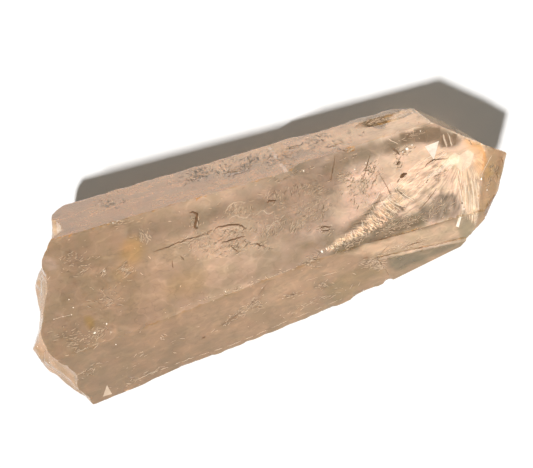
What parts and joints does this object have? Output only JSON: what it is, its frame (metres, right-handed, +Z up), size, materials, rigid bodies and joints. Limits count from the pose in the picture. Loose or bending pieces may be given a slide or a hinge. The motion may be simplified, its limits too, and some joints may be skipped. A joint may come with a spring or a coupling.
{
  "type": "quartz crystal",
  "caption": "Large natural quartz point lying on a prism face: a tapering six-sided prism with a faceted tip at one end and a scalloped break at the other.",
  "frame": {"origin": "centre of the crystal's length and width, on the surface it lies on", "axes": "+X along the prism towards the tip, +Z up from the prism face it lies on"},
  "size_m": [0.1298, 0.052, 0.038],
  "materials": {
    "smoky_quartz": "warm, faintly smoky translucent quartz with glassy faces, inner veils and light iron staining"
  },
  "bodies": {
    "root": {"quartz_crystal": "smoky_quartz"}
  },
  "joints": []
}
